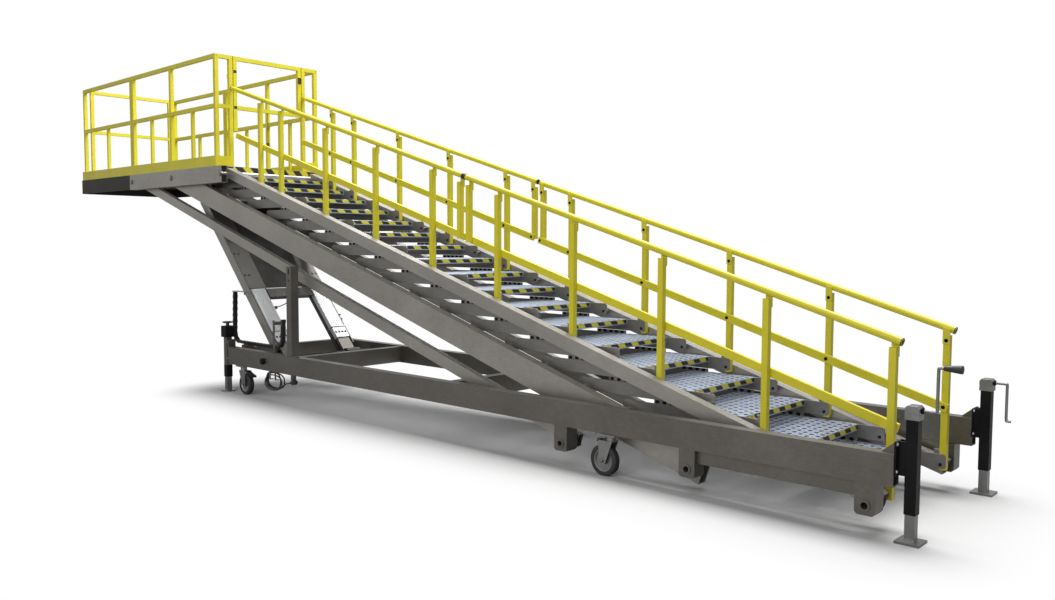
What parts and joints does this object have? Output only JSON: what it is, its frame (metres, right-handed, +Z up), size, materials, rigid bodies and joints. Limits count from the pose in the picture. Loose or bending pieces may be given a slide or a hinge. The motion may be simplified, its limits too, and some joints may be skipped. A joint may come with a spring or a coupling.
{
  "type": "cantilevered inspection stand",
  "caption": "Wheeled inspection stand with a self-levelling stair of pivoting treads and a railed platform held out beyond the base, raised by two telescoping legs.",
  "frame": {"origin": "floor level under the middle of the stand's overall length and width", "axes": "+X towards the foot of the stair, +Y towards the stand's side without the lock post, +Z up"},
  "size_m": [10.296, 1.406, 3.303],
  "materials": {
    "mill_aluminium": "brushed mill finish",
    "black_paint": "satin black paint",
    "grey_steel": "dull grey steel",
    "zinc_steel": "zinc plated",
    "wheel_tyre": "solid rubber tyre",
    "black_plastic": "matte",
    "cord_rubber": "matte cable sheath"
  },
  "bodies": {
    "base": {"base_rails": "mill_aluminium", "cross_members": "mill_aluminium", "arm_brackets": "mill_aluminium", "lock_post": "mill_aluminium", "pivot_pins": "zinc_steel", "jack_housings": "black_paint", "jack_cranks": "black_paint", "caster_plates": "zinc_steel", "cable_carrier": "black_plastic", "cable_coil": "cord_rubber", "cable_tail": "cord_rubber", "cable_plug": "black_plastic"},
    "upper_arms": {"upper_stringers": "mill_aluminium"},
    "lower_arms": {"lower_stringers": "mill_aluminium"},
    "strut_arms": {"struts": "mill_aluminium"},
    "platform": {"platform_frame": "mill_aluminium", "rear_fascia": "black_paint", "guard_rails": "mill_aluminium"},
    "gate": {"gate": "mill_aluminium", "gate_cord": "cord_rubber", "gate_knob": "black_plastic"},
    "top_rails": {"top_rails": "mill_aluminium"},
    "mid_rails": {"mid_rails": "mill_aluminium"},
    "split_link_upper": {"split_link_upper": "mill_aluminium"},
    "split_link_lower": {"split_link_lower": "mill_aluminium"},
    "leg_lower": {"leg_base_profiles": "black_paint"},
    "leg_upper": {"leg_masts": "mill_aluminium", "leg_carriage": "grey_steel", "leg_lead": "cord_rubber", "leg_plug": "black_plastic"},
    "tread_01": {"tread_01": "mill_aluminium"},
    "tread_02": {"tread_02": "mill_aluminium"},
    "tread_03": {"tread_03": "mill_aluminium"},
    "tread_04": {"tread_04": "mill_aluminium"},
    "tread_05": {"tread_05": "mill_aluminium"},
    "tread_06": {"tread_06": "mill_aluminium"},
    "tread_07": {"tread_07": "mill_aluminium"},
    "tread_08": {"tread_08": "mill_aluminium"},
    "tread_09": {"tread_09": "mill_aluminium"},
    "tread_10": {"tread_10": "mill_aluminium"},
    "tread_11": {"tread_11": "mill_aluminium"},
    "tread_12": {"tread_12": "mill_aluminium"},
    "tread_13": {"tread_13": "mill_aluminium"},
    "tread_14": {"tread_14": "mill_aluminium"},
    "tread_15": {"tread_15": "mill_aluminium"},
    "tread_16": {"tread_16": "mill_aluminium"},
    "tread_17": {"tread_17": "mill_aluminium"},
    "tread_18": {"tread_18": "mill_aluminium"},
    "fork_rear_left": {"caster_fork_rear_left": "zinc_steel"},
    "wheel_rear_left": {"caster_wheel_rear_left": "wheel_tyre"},
    "fork_rear_right": {"caster_fork_rear_right": "zinc_steel"},
    "wheel_rear_right": {"caster_wheel_rear_right": "wheel_tyre"},
    "fork_mid_left": {"caster_fork_mid_left": "zinc_steel"},
    "wheel_mid_left": {"caster_wheel_mid_left": "wheel_tyre"},
    "fork_mid_right": {"caster_fork_mid_right": "zinc_steel"},
    "wheel_mid_right": {"caster_wheel_mid_right": "wheel_tyre"},
    "jack_front_left": {"jack_leg_front_left": "zinc_steel"},
    "jack_front_right": {"jack_leg_front_right": "zinc_steel"},
    "jack_rear_left": {"jack_leg_rear_left": "zinc_steel"},
    "jack_rear_right": {"jack_leg_rear_right": "zinc_steel"}
  },
  "joints": [
    {"name": "lift", "type": "hinge", "parent": "base", "child": "upper_arms", "pos_m": [4.726, 0, 0.155], "axis": [0, 1, 0], "range_deg": [0, 12]},
    {"name": "lower_arm_swing", "type": "hinge", "parent": "base", "child": "lower_arms", "pos_m": [3.686, 0, 0.155], "axis": [0, 1, 0], "range_deg": [0, 12]},
    {"name": "strut_swing", "type": "hinge", "parent": "base", "child": "strut_arms", "pos_m": [2.726, 0, 0.155], "axis": [0, 1, 0], "range_deg": [0, 12]},
    {"name": "platform_level", "type": "hinge", "parent": "upper_arms", "child": "platform", "pos_m": [-1.72906, 0, 2.12851], "axis": [0, 1, 0], "range_deg": [-12, 0]},
    {"name": "gate_swing", "type": "hinge", "parent": "platform", "child": "gate", "pos_m": [-1.8583, -0.394, 2.8], "axis": [0, 0, 1], "range_deg": [0, 90]},
    {"name": "tread_01_level", "type": "hinge", "parent": "upper_arms", "child": "tread_01", "pos_m": [4.751, 0, 0.177], "axis": [0, 1, 0], "range_deg": [-12, 0]},
    {"name": "tread_02_level", "type": "hinge", "parent": "upper_arms", "child": "tread_02", "pos_m": [4.39583, 0, 0.28559], "axis": [0, 1, 0], "range_deg": [-12, 0]},
    {"name": "tread_03_level", "type": "hinge", "parent": "upper_arms", "child": "tread_03", "pos_m": [4.04066, 0, 0.39417], "axis": [0, 1, 0], "range_deg": [-12, 0]},
    {"name": "tread_04_level", "type": "hinge", "parent": "upper_arms", "child": "tread_04", "pos_m": [3.68548, 0, 0.50276], "axis": [0, 1, 0], "range_deg": [-12, 0]},
    {"name": "tread_05_level", "type": "hinge", "parent": "upper_arms", "child": "tread_05", "pos_m": [3.33031, 0, 0.61135], "axis": [0, 1, 0], "range_deg": [-12, 0]},
    {"name": "tread_06_level", "type": "hinge", "parent": "upper_arms", "child": "tread_06", "pos_m": [2.97514, 0, 0.71993], "axis": [0, 1, 0], "range_deg": [-12, 0]},
    {"name": "tread_07_level", "type": "hinge", "parent": "upper_arms", "child": "tread_07", "pos_m": [2.61997, 0, 0.82852], "axis": [0, 1, 0], "range_deg": [-12, 0]},
    {"name": "tread_08_level", "type": "hinge", "parent": "upper_arms", "child": "tread_08", "pos_m": [2.2648, 0, 0.93711], "axis": [0, 1, 0], "range_deg": [-12, 0]},
    {"name": "tread_09_level", "type": "hinge", "parent": "upper_arms", "child": "tread_09", "pos_m": [1.90963, 0, 1.0457], "axis": [0, 1, 0], "range_deg": [-12, 0]},
    {"name": "tread_10_level", "type": "hinge", "parent": "upper_arms", "child": "tread_10", "pos_m": [1.55446, 0, 1.15428], "axis": [0, 1, 0], "range_deg": [-12, 0]},
    {"name": "tread_11_level", "type": "hinge", "parent": "upper_arms", "child": "tread_11", "pos_m": [1.19928, 0, 1.26287], "axis": [0, 1, 0], "range_deg": [-12, 0]},
    {"name": "tread_12_level", "type": "hinge", "parent": "upper_arms", "child": "tread_12", "pos_m": [0.84411, 0, 1.37146], "axis": [0, 1, 0], "range_deg": [-12, 0]},
    {"name": "tread_13_level", "type": "hinge", "parent": "upper_arms", "child": "tread_13", "pos_m": [0.48894, 0, 1.48004], "axis": [0, 1, 0], "range_deg": [-12, 0]},
    {"name": "tread_14_level", "type": "hinge", "parent": "upper_arms", "child": "tread_14", "pos_m": [0.13377, 0, 1.58863], "axis": [0, 1, 0], "range_deg": [-12, 0]},
    {"name": "tread_15_level", "type": "hinge", "parent": "upper_arms", "child": "tread_15", "pos_m": [-0.2214, 0, 1.69722], "axis": [0, 1, 0], "range_deg": [-12, 0]},
    {"name": "tread_16_level", "type": "hinge", "parent": "upper_arms", "child": "tread_16", "pos_m": [-0.57657, 0, 1.8058], "axis": [0, 1, 0], "range_deg": [-12, 0]},
    {"name": "tread_17_level", "type": "hinge", "parent": "upper_arms", "child": "tread_17", "pos_m": [-0.93175, 0, 1.91439], "axis": [0, 1, 0], "range_deg": [-12, 0]},
    {"name": "tread_18_level", "type": "hinge", "parent": "upper_arms", "child": "tread_18", "pos_m": [-1.28692, 0, 2.02298], "axis": [0, 1, 0], "range_deg": [-12, 0]},
    {"name": "top_rail_swing", "type": "hinge", "parent": "tread_01", "child": "top_rails", "pos_m": [4.761, 0, 0.905], "axis": [0, 1, 0], "range_deg": [0, 12]},
    {"name": "mid_rail_swing", "type": "hinge", "parent": "tread_01", "child": "mid_rails", "pos_m": [4.761, 0, 0.518], "axis": [0, 1, 0], "range_deg": [0, 12]},
    {"name": "split_link_upper_level", "type": "hinge", "parent": "top_rails", "child": "split_link_upper", "pos_m": [1.525, 0, 1.89434], "axis": [0, 1, 0], "range_deg": [-12, 0]},
    {"name": "split_link_lower_level", "type": "hinge", "parent": "top_rails", "child": "split_link_lower", "pos_m": [1.62, 0, 1.8653], "axis": [0, 1, 0], "range_deg": [-12, 0]},
    {"name": "leg_swing", "type": "hinge", "parent": "base", "child": "leg_lower", "pos_m": [-0.881, 0, 0.356], "axis": [0, 1, 0], "range_deg": [0, 23.77]},
    {"name": "leg_extend", "type": "slide", "parent": "leg_lower", "child": "leg_upper", "axis": [-0.688, 0, 0.7257], "range_m": [0, 0.759]},
    {"name": "swivel_rear_left", "type": "hinge", "parent": "base", "child": "fork_rear_left", "pos_m": [-1.302, -0.617, 0.228], "axis": [0, 0, 1], "continuous": true},
    {"name": "roll_rear_left", "type": "hinge", "parent": "fork_rear_left", "child": "wheel_rear_left", "pos_m": [-1.252, -0.617, 0.1], "axis": [0, 1, 0], "continuous": true},
    {"name": "swivel_rear_right", "type": "hinge", "parent": "base", "child": "fork_rear_right", "pos_m": [-1.302, 0.617, 0.228], "axis": [0, 0, 1], "continuous": true},
    {"name": "roll_rear_right", "type": "hinge", "parent": "fork_rear_right", "child": "wheel_rear_right", "pos_m": [-1.252, 0.617, 0.1], "axis": [0, 1, 0], "continuous": true},
    {"name": "swivel_mid_left", "type": "hinge", "parent": "base", "child": "fork_mid_left", "pos_m": [3.114, -0.617, 0.228], "axis": [0, 0, 1], "continuous": true},
    {"name": "roll_mid_left", "type": "hinge", "parent": "fork_mid_left", "child": "wheel_mid_left", "pos_m": [3.069, -0.617, 0.1], "axis": [0, 1, 0], "continuous": true},
    {"name": "swivel_mid_right", "type": "hinge", "parent": "base", "child": "fork_mid_right", "pos_m": [3.114, 0.617, 0.228], "axis": [0, 0, 1], "continuous": true},
    {"name": "roll_mid_right", "type": "hinge", "parent": "fork_mid_right", "child": "wheel_mid_right", "pos_m": [3.069, 0.617, 0.1], "axis": [0, 1, 0], "continuous": true},
    {"name": "jack_front_left_slide", "type": "slide", "parent": "base", "child": "jack_front_left", "axis": [0, 0, 1], "range_m": [0, 0.12]},
    {"name": "jack_front_right_slide", "type": "slide", "parent": "base", "child": "jack_front_right", "axis": [0, 0, 1], "range_m": [0, 0.12]},
    {"name": "jack_rear_left_slide", "type": "slide", "parent": "base", "child": "jack_rear_left", "axis": [0, 0, 1], "range_m": [0, 0.12]},
    {"name": "jack_rear_right_slide", "type": "slide", "parent": "base", "child": "jack_rear_right", "axis": [0, 0, 1], "range_m": [0, 0.12]}
  ],
  "couplings": [
    {"joint": "lower_arm_swing", "follows": "lift", "ratio": 1},
    {"joint": "strut_swing", "follows": "lift", "ratio": 1},
    {"joint": "platform_level", "follows": "lift", "ratio": -1},
    {"joint": "tread_01_level", "follows": "lift", "ratio": -1},
    {"joint": "tread_02_level", "follows": "lift", "ratio": -1},
    {"joint": "tread_03_level", "follows": "lift", "ratio": -1},
    {"joint": "tread_04_level", "follows": "lift", "ratio": -1},
    {"joint": "tread_05_level", "follows": "lift", "ratio": -1},
    {"joint": "tread_06_level", "follows": "lift", "ratio": -1},
    {"joint": "tread_07_level", "follows": "lift", "ratio": -1},
    {"joint": "tread_08_level", "follows": "lift", "ratio": -1},
    {"joint": "tread_09_level", "follows": "lift", "ratio": -1},
    {"joint": "tread_10_level", "follows": "lift", "ratio": -1},
    {"joint": "tread_11_level", "follows": "lift", "ratio": -1},
    {"joint": "tread_12_level", "follows": "lift", "ratio": -1},
    {"joint": "tread_13_level", "follows": "lift", "ratio": -1},
    {"joint": "tread_14_level", "follows": "lift", "ratio": -1},
    {"joint": "tread_15_level", "follows": "lift", "ratio": -1},
    {"joint": "tread_16_level", "follows": "lift", "ratio": -1},
    {"joint": "tread_17_level", "follows": "lift", "ratio": -1},
    {"joint": "tread_18_level", "follows": "lift", "ratio": -1},
    {"joint": "top_rail_swing", "follows": "lift", "ratio": 1},
    {"joint": "mid_rail_swing", "follows": "lift", "ratio": 1},
    {"joint": "split_link_upper_level", "follows": "lift", "ratio": -1},
    {"joint": "split_link_lower_level", "follows": "lift", "ratio": -1},
    {"joint": "leg_swing", "follows": "lift", "ratio": 1.98},
    {"joint": "leg_extend", "follows": "lift", "m_per_rad": 3.62}
  ]
}
